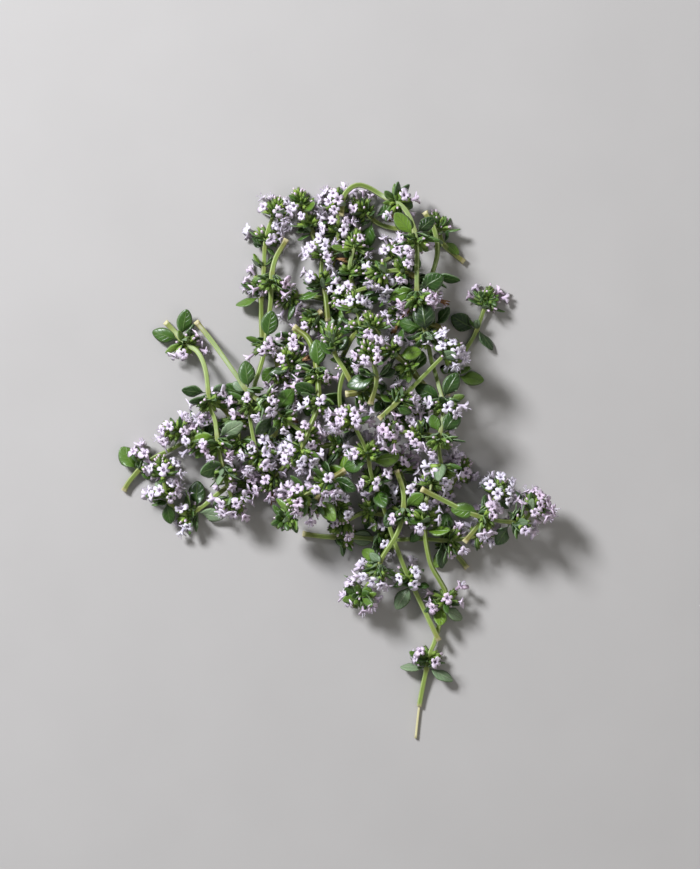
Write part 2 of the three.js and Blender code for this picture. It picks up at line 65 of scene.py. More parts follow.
# The core of a whorl or head: half its length, and the taper at each end
CORE_HALF = 1.5
CORE_TAPER = 1.3

# The heap: the room round a stem and a whorl, the height at which a stem rests, the radius of its
# sag, the step along it, the passes that even out its heights, and the middle of the footprint
STEM_ROOM = 1.7
WHORL_ROOM = 3.8
STEM_REST = 0.8
SAG = 36.0
LIE_STEP = 2.0
EASE_PASSES = 8
MIDDLE = (0.2, -1.3)

# Steps in which a way is first measured, and how near to its solid a leaf has to lie
FINE_STEPS = 200
NEAR_SOLID = 0.75
GOLDEN_ANGLE = 137.508

# What a point of a sprig's way carries
STEM, LEAVES, WHORL, HEAD, BUDS, BARK = range(6)

# Each sprig's way from the cut end to the tip: x, y, what grows there and, where it is known, the
# angle of its leaves round the stem. What is known of each of its two leaves follows: its heading
# seen from above, in degrees from +X, its size and how far it faces up.
SPRIGS = [
    # Back of the heap, lowest layer
    [(-4.5, 69.5, STEM), (-7.5, 75, STEM), (-10, 81.5, WHORL, 20, [235, 0.8, 0.3]),
     (-13, 89, HEAD)],
    [(24, 79, STEM), (18.5, 79.5, STEM), (13.5, 81.5, LEAVES, 0), (8.5, 86, HEAD)],
    [(2, 67.5, STEM), (9.5, 67.5, WHORL, 60), (16, 67.5, STEM), (21.5, 70.5, HEAD)],
    [(6, 51, STEM), (-2.5, 54, WHORL, 30), (-11, 55.5, STEM), (-17.5, 54.5, HEAD)],
    [(44.5, 67.5, STEM), (40, 71, STEM), (37, 74, LEAVES, 0, [140], [318, 1, 0.2]),
     (35, 80.5, BUDS)],
    [(8, 48, STEM), (6, 57, WHORL, 80), (4.5, 65, WHORL), (6.5, 74, HEAD)],
    [(28, 52.5, STEM), (18.5, 58.5, WHORL, 10, [285], [50]), (9.5, 57.5, STEM), (2, 54, HEAD)],
    [(-26, 38, STEM), (-26.5, 50, STEM), (-26.3, 58.5, WHORL, 15, [200, 0.9, 0.3], [340, 0.8]),
     (-25.5, 64.5, LEAVES, 0, [135, 0.9, 0.2], [20, 0.6, 0.3]),
     (-24.7, 76.4, WHORL, 0, [170, 0.6], [310, 0.7, 0.3]), (-21, 86, HEAD)],
    # Middle of the heap, lowest layer
    [(-74.5, -12.5, STEM), (-72, -8.5, STEM), (-65.5, -2, WHORL, 5, [125], [320, 0.8]),
     (-56, 3, STEM), (-46, 9, HEAD)],
    [(-5, 50, STEM), (-9.5, 46, WHORL, 40), (-15.5, 38, HEAD)],
    [(1, 32, STEM), (5, 40, STEM), (8, 45, WHORL, 0), (6, 52.5, HEAD)],
    [(30, 24, STEM), (24, 31, WHORL, 60), (17, 37.5, WHORL), (12, 45, HEAD)],
    [(-22, 36, STEM), (-19, 28, WHORL, 30), (-14.5, 19, WHORL), (-17, 8, HEAD)],
    [(8.5, 35.5, STEM), (3, 29, WHORL, 80), (1, 22, STEM), (1.5, 13, HEAD)],
    [(22, -18, STEM), (29, -14, WHORL, 30), (38, -12, WHORL), (43.5, -5, HEAD)],
    [(-20, 10, STEM), (-24, 4, WHORL, 70), (-31, -4, STEM), (-31, -12, HEAD)],
    [(45.5, -39.5, STEM), (40, -32.5, LEAVES, 0), (34.5, -25.5, STEM), (29, -18.5, STEM),
     (24.5, -12, WHORL), (21, -3, HEAD)],
    [(-12, -27.5, STEM), (-4, -28.5, STEM), (4, -28.5, WHORL, 0, [60], [345, 0.8]),
     (17.5, -29.5, WHORL), (29, -29, STEM), (40.5, -29.5, WHORL), (50.5, -27.5, HEAD)],
    [(27, -22, STEM), (19, -21, WHORL, 70), (9.5, -20, WHORL), (1, -24, HEAD)],
    [(-9, 5, STEM), (-6, -1, STEM), (-2.5, -9.5, WHORL, 70), (1, -19, HEAD)],
    [(6.5, 2, STEM), (-1.5, 3.5, WHORL, 50), (-9, 2, STEM), (-16.5, -2.5, WHORL), (-23, -9, HEAD)],
    [(-4, -13, STEM), (-10.5, -18, WHORL, 35), (-18, -22, BUDS)],
    [(-38.5, 2, STEM), (-43, 3.5, STEM), (-49, 5.5, WHORL, 15), (-56.5, 9, HEAD)],
    [(-35.5, -9, STEM), (-41.5, -13.5, STEM), (-47, -18, STEM),
     (-52.5, -20.5, WHORL, 0, [350, 1, 0.5], [86]), (-57.5, -17.5, STEM),
     (-59.5, -12.5, WHORL, 0, [280, 0.8], [130]), (-60.5, -4.5, HEAD)],
    [(44, -30, STEM), (49, -24, STEM), (53, -18, STEM), (56.5, -11.5, HEAD)],
    [(3, 21, STEM), (11, 21.5, WHORL, 30), (18.5, 17.5, WHORL), (26, 13, HEAD)],
    [(37, 44, STEM), (29.5, 46.5, WHORL, 40), (21.5, 49, HEAD)],
    [(-41, 18, STEM), (-35, 11, WHORL, 20), (-33.5, 2.5, HEAD)],
    [(28, 61, STEM), (21.5, 63.5, WHORL, 10), (14, 62.5, HEAD)],
    # Middle layer
    [(27.5, -99, STEM), (29, -86.5, BARK), (32.3, -70, WHORL, 0, [178, 0.9, 0.25], [333, 1, 0.35]),
     (34.5, -64, STEM), (37.8, -49, WHORL, 60, [262], [328, 0.85, 0.4]), (36, -44, STEM),
     (32, -36, STEM), (30, -20.5, WHORL), (33.5, -8, HEAD)],
    [(38.5, 21, STEM), (41.3, 28, LEAVES, 0, [170, 0.7], [350]), (44.5, 36, STEM),
     (48.5, 43, LEAVES, 10, [150], [305, 0.9, 0.4]), (52.5, 54.5, HEAD)],
    [(30.5, 84.5, STEM), (34, 78, STEM), (34.8, 70, STEM),
     (32.8, 62, LEAVES, 20, [350, 1, 0.3], [205, 0.8]), (30.5, 54.5, HEAD)],
    [(11.5, 17.5, STEM), (13.5, 26.5, LEAVES, 15), (11, 35.5, HEAD)],
    [(-6, 21, STEM), (-12, 25, WHORL, 0), (-16.5, 33.5, HEAD)],
    [(-17.5, 75, STEM), (-21.5, 67.5, STEM),
     (-22.8, 59, WHORL, 0, [310, 0.7, 0.2], [215, 0.6, 0.3]), (-23, 52.5, STEM),
     (-25.3, 36, WHORL, 70, [80], [255, 0.8]), (-27, 29, STEM), (-28.5, 24, STEM),
     (-30, 15.5, WHORL, 0), (-29, 7, STEM), (-27, -1.5, HEAD)],
    [(3, -5, STEM), (-5, -10, WHORL, 55), (-13, -14.5, HEAD)],
    [(-2, 65, STEM), (-0.3, 72, STEM), (0.5, 79.5, WHORL, 0), (0, 89, HEAD)],
    [(38, 5.5, STEM), (27.5, 7.5, WHORL, 20), (17.5, 8.5, HEAD)],
    [(29, -11.5, STEM), (38, -16, STEM), (45, -19.5, STEM), (51.5, -21.5, WHORL, 10, [175], [205]),
     (58, -22.7, STEM), (64.5, -22.3, WHORL, 0, [50, 0.7], [238, 0.9, 0.7]), (68.5, -16.5, HEAD)],
    # Upper layer
    [(-60, 46.5, STEM), (-57, 43.5, STEM), (-52.5, 38.5, WHORL, 0, [78], [162]), (-48.5, 36, STEM),
     (-45.5, 29.5, STEM), (-43.7, 16.5, WHORL, 0, [25, 0.6, 0.5], [174, 0.9, 0.6]), (-42, 12, STEM),
     (-40.5, 1.5, WHORL, 20), (-38.5, -8, WHORL), (-35.5, -17, HEAD)],
    [(-3, 46.5, STEM), (-4, 55.5, STEM), (-5.5, 62, WHORL, 20), (-5, 71, HEAD)],
    [(1.5, 83, STEM), (2.5, 90, STEM), (6.5, 93.7, STEM), (11, 93, STEM), (16.5, 89.7, STEM),
     (22.5, 86.2, WHORL, 0, [332], [245, 0.7]), (26, 80, STEM),
     (27.5, 72, WHORL, 10, [40, 0.8], [130]), (27.5, 63, STEM), (28, 52.5, WHORL, 20, [30], [200]),
     (31.2, 39.5, WHORL, 80, [98, 1.1], [165]), (32.5, 33, STEM), (34.5, 26, STEM),
     (36.5, 16, WHORL, 20, [60], [140]), (35, 3, WHORL, 10, [45], [125]), (36.5, -6, HEAD)],
    [(-49, 46.5, STEM), (-42.5, 38.5, STEM), (-34.5, 27.5, STEM),
     (-31, 22.5, LEAVES, 0, [97], [142, 0.8]), (-23.5, 16.5, WHORL), (-16.5, 11.5, WHORL),
     (-9.5, 6, HEAD)],
    [(-15, 44.5, STEM), (-10, 40.5, STEM), (-7.5, 33.5, STEM), (-6.5, 26, WHORL, 50, [95], [200]),
     (-6.5, 17, WHORL), (-9.5, 9, STEM), (-13, 0, HEAD)],
    [(35.5, -64.5, STEM), (29, -51, STEM), (24.5, -41.5, WHORL, 0, [240], [350, 1, 0.25]),
     (20, -30, STEM), (15.5, -16, STEM), (12, -7, WHORL), (10, 2, WHORL), (4.5, 13, HEAD)],
    [(20.5, -5, STEM), (23, -13, STEM), (22.5, -21.5, WHORL, 0, [25], [235]), (20.5, -27.5, STEM),
     (15.5, -35.5, STEM), (12.9, -41.6, WHORL, 60, [112, 0.9], [152, 0.85]), (8, -49, HEAD)],
    [(14.5, 12.5, STEM), (23, 20.5, WHORL, 0), (29, 26.5, STEM), (38.5, 36, HEAD)],
    [(6, 23, STEM), (2.5, 29.5, STEM), (-0.5, 34.5, LEAVES, 0, [140], [40]), (-1.5, 40.5, BUDS)],
]

# Leaves that show their pale undersides: the sprig, its growing point and the side of the stem
SEEN_FROM_BELOW = [(43, 0, 2), (45, 0, 0), (30, 1, 2), (30, 0, 0), (30, 0, 2), (24, 0, 0),
                   (24, 1, 2), (7, 0, 2), (46, 1, 0), (40, 1, 0)]

# Leaves that lie over their own stem, and how far they rise to clear it
OVER_STEM = {(42, 3, 0): 2.0}

# Share of open florets where it stands out, for a sprig and its growing point. Elsewhere it varies.
BLOOM = {(31, 2): 0.28, (1, 1): 0.3, (8, 3): 0.35, (30, 0): 0.28, (30, 1): 0.35, (40, 0): 0.3,
         (39, 2): 0.8, (39, 1): 0.55, (39, 0): 0.6, (46, 2): 0.9, (8, 0): 0.4, (8, 2): 0.4,
         (35, 0): 0.3, (45, 0): 0.35, (42, 0): 0.5, (47, 1): 0.9, (42, 2): 0.3, (25, 0): 0.75,
         (24, 2): 0.6, (23, 0): 0.5, (9, 1): 0.6, (37, 1): 0.7, (45, 1): 0.6, (45, 2): 0.6}

# Sprigs deep in the heap, with fewer open florets
SHADED = (2, 3, 4, 6, 7, 10, 11, 12, 13, 14, 16, 19, 20, 21, 26, 27, 28, 29)

# Heads that turn up and end in a crown of larger leaves, and those leaves' size
LEAFY = {46: 0.66, 22: 0.55, 31: 0.45}

# Ways in which a leaf gives way to its neighbours: lift, swing and size, as on the solids
LEAF_EASE = [
    (0, 0, 1), (0.3, 0, 1), (-0.3, 0, 1), (0, 0.35, 1), (0, -0.35, 1), (0.4, 0.3, 0.85),
    (0.4, -0.3, 0.85), (-0.3, 0.4, 0.8), (0.8, 0, 0.8), (0, 0.5, 0.65), (0, -0.5, 0.65),
    (0.5, 0, 0.6),
]

UP = np.array([0.0, 0.0, 1.0])


def draw(sprig, node, item):
    """A number from 0 to 1 that depends only on the three counts given: the fraction left of a
    large multiple of a sine."""
    x = np.sin(sprig * 12.9898 + node * 78.233 + np.asarray(item) * 37.719) * 43758.5453
    return x - np.floor(x)


def spread(value, sprig, node, item):
    """A number from minus a value to the value, drawn in the same way."""
    return value * (2 * draw(sprig, node, item) - 1)


def unit(v):
    """Vectors scaled to length one."""
    return v / np.maximum(np.linalg.norm(v, axis=-1, keepdims=True), 1e-9)


def lay_out(way):
    """A sprig's way from above: a smooth curve through its points, in even steps."""
    flat = np.array([[p[0] - MIDDLE[0], p[1] - MIDDLE[1], 0.0] for p in way])
    at = np.linspace(0, len(flat) - 1, FINE_STEPS + 1)
    fine = np.linalg.norm(np.diff(smooth(flat, at), axis=0), axis=1)
    lengths = np.concatenate([[0], np.cumsum(fine)])
    length = lengths[-1]
    steps = math.ceil(length / LIE_STEP)
    points = smooth(flat, np.interp(np.linspace(0, length, steps + 1), lengths, at))
    step = length / steps

    def along_of(place):
        return float(np.argmin(np.linalg.norm(points - place, axis=1)) * step)

    nodes, pair, bark = [], 0.0, 0.0
    for place, (_, _, kind, *given) in zip(flat, way):
        if kind == BARK:
            bark = along_of(place)
        if kind in (STEM, BARK):
            continue
        pair = float(given[0]) if given else pair + CROSSWISE
        known = (given[1:] + [[], []])[:2]
        nodes.append({"kind": kind, "pair": pair, "known": known, "at": along_of(place)})
    return {"points": points, "length": length, "step": step, "nodes": nodes, "bark": bark}


def smooth(points, at):
    """Smooth curve through points, at places counted in points: a cubic from each point to the
    next, with slopes that are half the way between a point's neighbours."""
    ends = np.vstack([2 * points[:1] - points[1:2], points, 2 * points[-1:] - points[-2:-1]])
    k = np.minimum(at.astype(int), len(points) - 2)
    t = (at - k)[:, None]
    a, b, c, d = ends[k], ends[k + 1], ends[k + 2], ends[k + 3]
    m, n = (c - a) / 2, (d - b) / 2
    return b + m * t + (3 * (c - b) - 2 * m - n) * t**2 + (2 * (b - c) + m + n) * t**3


def room_along(sprig):
    """Room kept round the stem: a ball round each whorl, and little elsewhere."""
    along = np.arange(len(sprig["points"])) * sprig["step"]
    room = np.full(len(along), STEM_ROOM)
    for node in sprig["nodes"]:
        if node["kind"] != LEAVES:
            ball = np.sqrt(np.maximum(0, WHORL_ROOM**2 - (along - node["at"]) ** 2))
            room = np.maximum(room, ball)
    return room


def settle(sprigs):
    """Heights: the least at which each sprig clears the surface and all before it, with the
    parabola of the stem's sag hung from every point, evened out in a few passes."""
    lain = np.zeros((0, 4))
    for sprig in sprigs:
        points, step = sprig["points"], sprig["step"]
        room = room_along(sprig)
        least = room - STEM_ROOM + STEM_REST
        if len(lain):
            reach = room[:, None] + lain[None, :, 3]
            apart = ((points[:, None, :2] - lain[None, :, :2]) ** 2).sum(-1)
            over = lain[None, :, 2] + np.sqrt(np.maximum(reach**2 - apart, 0))
            least = np.maximum(least, np.where(apart < reach**2, over, -1).max(1))
        index = np.arange(len(points))
        heights = (least[None] - ((index[:, None] - index) * step) ** 2 / (2 * SAG)).max(1)
        for _ in range(EASE_PASSES):
            wide = np.concatenate([heights[:1], heights, heights[-1:]])
            heights = np.maximum(least, (wide[:-2] + heights + wide[2:]) / 3)
        points[:, 2] = heights
        lain = np.vstack([lain, np.column_stack([points, room])])


def station(sprig, along):
    """Place and directions (along the stem, level to the side, upwards) at a distance along it."""
    points, step = sprig["points"], sprig["step"]
    last = len(points) - 1
    k = min(last - 1, max(0, math.floor(along / step)))
    place = points[k] + (points[k + 1] - points[k]) * (along / step - k)
    tangent = unit(points[min(last, k + 2)] - points[max(0, k - 1)])
    side = unit(np.cross(UP, tangent))
    return place, tangent, side, np.cross(tangent, side)


def outward(place, degrees):
    """Directions square to the stem at angles round it, from level."""
    a = np.radians(degrees)
    _, _, side, top = place
    return np.cos(a)[..., None] * side + np.sin(a)[..., None] * top


def stem_radius(sprig, along):
    """From the stem's axis to a corner of its square, on the solid."""
    return STEM_CUT + (STEM_TIP - STEM_CUT) * along / sprig["length"]


def placed(name, data):
    """A new object of the scene."""
    obj = bpy.data.objects.new(name, data)
    bpy.context.scene.collection.objects.link(obj)
    return obj


class Skin:
    """Grids gathered into one mesh, with a value of each attribute at every vertex."""

    def __init__(self):
        self.points, self.quads, self.triangles, self.values = [], [], [], []
        self.count = 0

    def grids(self, surface, values, start, end):
        """Adds copies of a grid, as an array copies x rows x columns x 3. Columns close on
        themselves, and start and end are the poles that close the first and last row."""
        copies, rows, columns, _ = surface.shape
        base = self.count + np.arange(copies)[:, None, None] * rows * columns
        r, c = np.meshgrid(np.arange(rows - 1), np.arange(columns), indexing="ij")
        turn = (c + 1) % columns
        corners = [r * columns + c, r * columns + turn, (r + 1) * columns + turn,
                   (r + 1) * columns + c]
        self.quads.append((base + np.stack(corners, -1).reshape(1, -1, 4)).reshape(-1, 4))
        self.points.append(surface.reshape(-1, 3))
        self.count += copies * rows * columns
        values = {k: np.broadcast_to(v, surface.shape[:3]) for k, v in values.items()}
        self.values.append({k: v.reshape(-1) for k, v in values.items()})
        ring = np.arange(columns)
        for pole, row, order in ((start, 0, 1), (end, rows - 1, -1)):
            first = base[:, 0, 0][:, None] + row * columns
            a, b = first + (ring + 1) % columns, first + ring
            tip = np.broadcast_to(self.count + np.arange(copies)[:, None], a.shape)
            fan = np.stack([a, b, tip][::order], -1)
            self.triangles.append(fan.reshape(-1, 3))
            self.points.append(pole.reshape(-1, 3))
            self.values.append({k: v[:, row].mean(1) for k, v in values.items()})
            self.count += copies

    def piece(self, name, material, slot, node):
        """The finished object, where anything was gathered. It replaces its node of the frame and
        rides with it."""
        if not self.count:
            return
        points = np.concatenate(self.points) * MM
        points[:, 2] = np.maximum(points[:, 2], 0.0)
        faces = np.concatenate(self.quads).tolist() + np.concatenate(self.triangles).tolist()
        mesh = bpy.data.meshes.new(name)
        mesh.from_pydata(points.tolist(), [], faces)
        for key in self.values[0]:
            data = np.concatenate([v[key] for v in self.values]).astype(np.float32)
            mesh.attributes.new(key, "FLOAT", "POINT").data.foreach_set("value", data)
        mesh.shade_smooth()
        mesh.materials.append(material)
        obj = placed(name, mesh)
        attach(obj, "root")
        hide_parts(node)


def linear(code):
    """Linear colour with alpha from an sRGB hex code."""
    parts = [int(code[i:i + 2], 16) / 255 for i in (1, 3, 5)]
    return [p / 12.92 if p <= 0.04045 else ((p + 0.055) / 1.055) ** 2.4 for p in parts] + [1]


def add(tree, kind, settings=None, **links):
    """Adds a node, sets what is given and links or fills its inputs by name or number."""
    node = tree.nodes.new(kind)
    for key, value in (settings or {}).items():
        setattr(node, key, value)
    for key, value in links.items():
        name = int(key[1:]) if key[0] == "_" else key.replace("_", " ")
        if isinstance(value, bpy.types.NodeSocket):
            tree.links.new(value, node.inputs[name])
        else:
            node.inputs[name].default_value = value
    return node


def new_material(name, **values):
    """A material with a Principled shader whose constant sockets are set directly."""
    material = bpy.data.materials.new(name)
    material.use_nodes = True
    tree = material.node_tree
    shader = tree.nodes["Principled BSDF"]
    for key, value in values.items():
        shader.inputs[key.replace("_", " ")].default_value = value
    return material, tree, shader


def attribute(tree, name):
    """A value that the mesh carries at its vertices."""
    return add(tree, "ShaderNodeAttribute", {"attribute_name": name}).outputs["Fac"]


def maths(tree, operation, *values, clamp=False):
    """The result of a sum on two or three values, kept between 0 and 1 if asked."""
    links = {f"_{i}": v for i, v in enumerate(values)}
    return add(tree, "ShaderNodeMath", {"operation": operation, "use_clamp": clamp},
               **links).outputs[0]


def mixed(tree, factor, a, b):
    """Colour a turned to colour b by a factor."""
    node = add(tree, "ShaderNodeMix", {"data_type": "RGBA"}, _0=factor, _6=a, _7=b)
    return node.outputs[2]


def tinted(tree, colour, value, share, code):
    """A colour turned to a hex colour by a value times a share."""
    return mixed(tree, maths(tree, "MULTIPLY", value, share), colour, linear(code))


def ramp(tree, value, stops):
    """A colour ramp through the given places and hex colours."""
    node = add(tree, "ShaderNodeValToRGB", Fac=value)
    elements = node.color_ramp.elements
    elements[0].position, elements[1].position = stops[0][0], stops[-1][0]
    elements[0].color, elements[1].color = linear(stops[0][1]), linear(stops[-1][1])
    for place, code in stops[1:-1]:
        elements.new(place).color = linear(code)
    return node.outputs["Color"]


def noise(tree, size_mm):
    """Noise on object coordinates whose lumps are about the given size."""
    place = add(tree, "ShaderNodeTexCoord").outputs["Object"]
    return add(tree, "ShaderNodeTexNoise", Vector=place, Scale=1 / (size_mm * MM),
               Detail=3.0).outputs["Fac"]


def bumped(tree, shader, height, depth_mm, strength):
    """Relief of a depth from a height between 0 and 1."""
    node = add(tree, "ShaderNodeBump", Height=height, Distance=depth_mm * MM, Strength=strength)
    tree.links.new(node.outputs["Normal"], shader.inputs["Normal"])


def stem_material():
    """Fresh herb stem: a waxy, ridged skin, yellow-green with a painted highlight along its
    corners, browner where it is old and at the joints. The cut end and the peeled wood show pale,
    dull pith."""
    material, tree, shader = new_material(
        "fresh_square_stem", Roughness=0.42, IOR=1.42, Subsurface_Weight=0.1,
        Subsurface_Radius=(0.001, 0.001, 0.0004))
    skin = mixed(tree, attribute(tree, "tone"), linear("#697F36"), linear("#8AA04B"))
    # Pale corners: a painted highlight along the stem's four ridges
    skin = tinted(tree, skin, attribute(tree, "corner"), 0.75, "#C0CE92")
    skin = tinted(tree, skin, noise(tree, 1.4), 0.35, "#5D7030")
    skin = mixed(tree, attribute(tree, "old"), skin, linear("#7E6B38"))
    skin = mixed(tree, attribute(tree, "pith"), skin, linear("#D2CC9C"))
    tree.links.new(skin, shader.inputs["Base Color"])
    bumped(tree, shader, noise(tree, 0.5), 0.05, 0.6)
    return material


def leaf_material():
    """Fresh thyme leaf: waxy and dark above with sunken veins and a pale rim, matt and pale
    grey-green below with raised veins. The wax gives soft, slightly blue glints."""
    material, tree, shader = new_material(
        "fresh_thyme_leaf", IOR=1.45, Subsurface_Weight=0.06,
        Subsurface_Radius=(0.0006, 0.001, 0.0003), Coat_Weight=0.25, Coat_Roughness=0.3)
    along, across = attribute(tree, "along"), attribute(tree, "across")
    under, tone = attribute(tree, "under"), attribute(tree, "tone")
    off = maths(tree, "ABSOLUTE", across)
    # Side veins leave the midrib every 1.6 mm, as 5.5 to a blade, and run forward to its edge
    forward = maths(tree, "SUBTRACT", along, maths(tree, "MULTIPLY", off, 0.3))
    lane = maths(tree, "FRACT", maths(tree, "MULTIPLY", forward, 5.5))
    wave = maths(tree, "ABSOLUTE", maths(tree, "SUBTRACT", lane, 0.5))
    side_vein = maths(tree, "SUBTRACT", 1.0, maths(tree, "MULTIPLY", wave, 7.0), clamp=True)
    midrib = maths(tree, "SUBTRACT", 1.0, maths(tree, "MULTIPLY", off, 9.0), clamp=True)
    vein = maths(tree, "MAXIMUM", midrib, maths(tree, "MULTIPLY", side_vein, 0.45))
    edge = maths(tree, "SUBTRACT", off, 0.84, clamp=True)
    rim = maths(tree, "MULTIPLY", edge, 6.0, clamp=True)
    blotch = noise(tree, 2.2)
    upper = ramp(tree, tone, [(0.0, "#172D0E"), (0.4, "#2A4A15"), (0.75, "#496E20"),
                              (1.0, "#74952F")])
    upper = tinted(tree, upper, blotch, 0.3, "#31541C")
    upper = tinted(tree, upper, vein, 0.42, "#7C9654")
    upper = tinted(tree, upper, rim, 0.5, "#93A872")
    lower = mixed(tree, tone, linear("#65805A"), linear("#8EA37E"))
    lower = tinted(tree, lower, vein, 0.7, "#AEBB98")
    tree.links.new(mixed(tree, under, upper, lower), shader.inputs["Base Color"])
    rough = maths(tree, "MULTIPLY_ADD", blotch, 0.14, 0.28)
    rough = maths(tree, "MULTIPLY_ADD", under, 0.25, rough)
    tree.links.new(rough, shader.inputs["Roughness"])
    # Veins sink above and stand out below
    way = maths(tree, "MULTIPLY_ADD", under, 2.0, -1.0)
    relief = maths(tree, "MULTIPLY", vein, way)
    bumped(tree, shader, maths(tree, "MULTIPLY_ADD", blotch, 0.25, relief), 0.22, 0.8)
    return material


def calyx_material():
    """Fresh calyx: a thin ribbed tube of mid green with a painted highlight on each raised rib,
    matt with fine hair, its teeth darker or flushed with purple."""
    material, tree, shader = new_material(
        "ribbed_green_calyx", Roughness=0.55, IOR=1.42, Subsurface_Weight=0.12,
        Subsurface_Radius=(0.0006, 0.001, 0.0003))
    green = ramp(tree, attribute(tree, "tone"), [(0.0, "#355514"), (0.5, "#5E8526"),
                                                 (1.0, "#9ABA48")])
    # Paler stripes on the raised ribs: a painted highlight
    green = tinted(tree, green, attribute(tree, "rib"), 0.45, "#9DB46C")
    green = tinted(tree, green, attribute(tree, "tooth"), 0.4, "#5E5138")
    tree.links.new(green, shader.inputs["Base Color"])
    bumped(tree, shader, noise(tree, 0.35), 0.05, 0.5)
    return material


def petal_material():
    """Fresh petal: thin, velvety and a little see-through, from bluish white to pinkish lilac,
    palest on the lobes and darker in the throat, partly its own mauve and partly painted shade."""
    material, tree, shader = new_material(
        "soft_lilac_petal", Roughness=0.55, IOR=1.38, Subsurface_Weight=0.2,
        Subsurface_Radius=(0.001, 0.0009, 0.0011), Sheen_Weight=0.1)
    lobe = attribute(tree, "lobe")
    # The low end of each ramp darkens the throat: partly its own mauve, partly painted shade in the
    # recess
    white = ramp(tree, lobe, [(0.0, "#625A6C"), (0.4, "#A59DB2"), (0.62, "#DCD9E4"),
                              (1.0, "#F1F0F7")])
    pink = ramp(tree, lobe, [(0.0, "#5E4657"), (0.4, "#9F8299"), (0.62, "#D3B9CE"),
                             (1.0, "#E9D3E5")])
    colour = mixed(tree, attribute(tree, "tone"), white, pink)
    colour = tinted(tree, colour, noise(tree, 1.1), 0.22, "#BFAFC4")
    tree.links.new(colour, shader.inputs["Base Color"])
    bumped(tree, shader, noise(tree, 0.5), 0.08, 0.6)
    return material


def withered_material():
    """Spent floret: dry, crumpled and papery, orange-brown with darker folds."""
    material, tree, shader = new_material("dry_spent_petal", Roughness=0.75, IOR=1.45)
    colour = ramp(tree, noise(tree, 0.9), [(0.3, "#6A4A2E"), (0.55, "#98714A"), (0.8, "#BB9C74")])
    tree.links.new(colour, shader.inputs["Base Color"])
    bumped(tree, shader, noise(tree, 0.6), 0.2, 0.8)
    return material


def stamen_material():
    """Stamen: a thin, smooth white thread with a mauve anther."""
    material, tree, shader = new_material("white_stamen", Roughness=0.45)
    colour = ramp(tree, attribute(tree, "end"), [(0.0, "#E7E2EE"), (0.8, "#EFECF3"),
                                                 (1.0, "#B39CB9")])
    colour = tinted(tree, colour, noise(tree, 0.8), 0.2, "#D3C7DA")
    tree.links.new(colour, shader.inputs["Base Color"])
    return material


# Stem: the distance between its rings, the points of a ring, its radius as a share of the solid's
# corner, and how much it swells at a joint and at the cut end, over which distance
STEM_ROW = 1.3
STEM_COLUMNS = 16
STEM_SLIM = 0.84
JOINT_SWELL = 0.25
JOINT_REACH = 1.1
CUT_SWELL = 0.16
CUT_REACH = 0.9


def stem_skin(sprig, index, first, last, bare):
    """A tube with a square section that is grooved on its four faces: radius times
    (0.87 + 0.11 cos 4a), with a from a corner, less 0.06 at the middle of each face. It runs
    along the sprig's curve from one distance to another, swells by a bell curve at the joints
    and the cut end, thins out at the tip and closes at both ends."""
    rows = max(8, math.ceil((last - first) / STEM_ROW))
    along = np.linspace(first, last, rows)
    centre = smooth(sprig["points"], along / sprig["step"])
    tangent = unit(np.gradient(centre, axis=0))
    side = unit(np.cross(UP, tangent))
    top = np.cross(tangent, side)
    marks = [node["at"] for node in sprig["nodes"]]
    turns = np.degrees(np.unwrap(np.radians([n["pair"] * 4 for n in sprig["nodes"]]))) / 4
    turn = np.interp(along, marks, turns)[:, None]
    around = np.arange(STEM_COLUMNS)[None] * 360 / STEM_COLUMNS
    wave = np.cos(np.radians(4 * (around - 45)))
    square = 0.87 + 0.11 * wave - 0.06 * (around % 90 == 0)
    joint = sum(np.exp(-((along - joint_at(n)) / JOINT_REACH) ** 2) for n in sprig["nodes"])
    swollen = CUT_SWELL * np.exp(-((along / CUT_REACH) ** 2))
    radius = STEM_SLIM * stem_radius(sprig, along) * (1 + JOINT_SWELL * joint + swollen)
    left = (sprig["length"] - along) / 4
    radius = radius * (PEELED * 0.8 if bare else 1) * np.clip(left, 0.35, 1)
    angle = np.radians(around + turn)[..., None]
    ring = np.cos(angle) * side[:, None] + np.sin(angle) * top[:, None]
    surface = centre[:, None] + ring * radius[:, None, None] * square[..., None]
    old = np.clip(0.85 - along / 9, 0, 0.7) * (0.3 + 0.7 * draw(index, 0, 900))
    old = old + 0.35 * np.clip(joint, 0, 1) + 0.5 * np.exp(-((along / 0.8) ** 2))
    pith = np.where(bare | (along < first + 0.1), 1.0, 0.0)
    # The corner value carries the painted highlight along the ridges
    values = {"corner": np.clip(wave, 0, 1), "tone": draw(index, 0, 901), "old": old[:, None],
              "pith": pith[:, None]}
    skin = Skin()
    skin.grids(surface[None], values, start=centre[:1] - tangent[:1] * 0.1,
               end=centre[-1:] + tangent[-1:] * 0.3)
    return skin


def joint_at(node):
    """Where a pair of leaves grows."""
    if node["kind"] in (HEAD, BUDS):
        return node["at"] - CORE_HALF - CORE_TAPER
    return node["at"] if node["kind"] == LEAVES else node["at"] - LEAF_BELOW


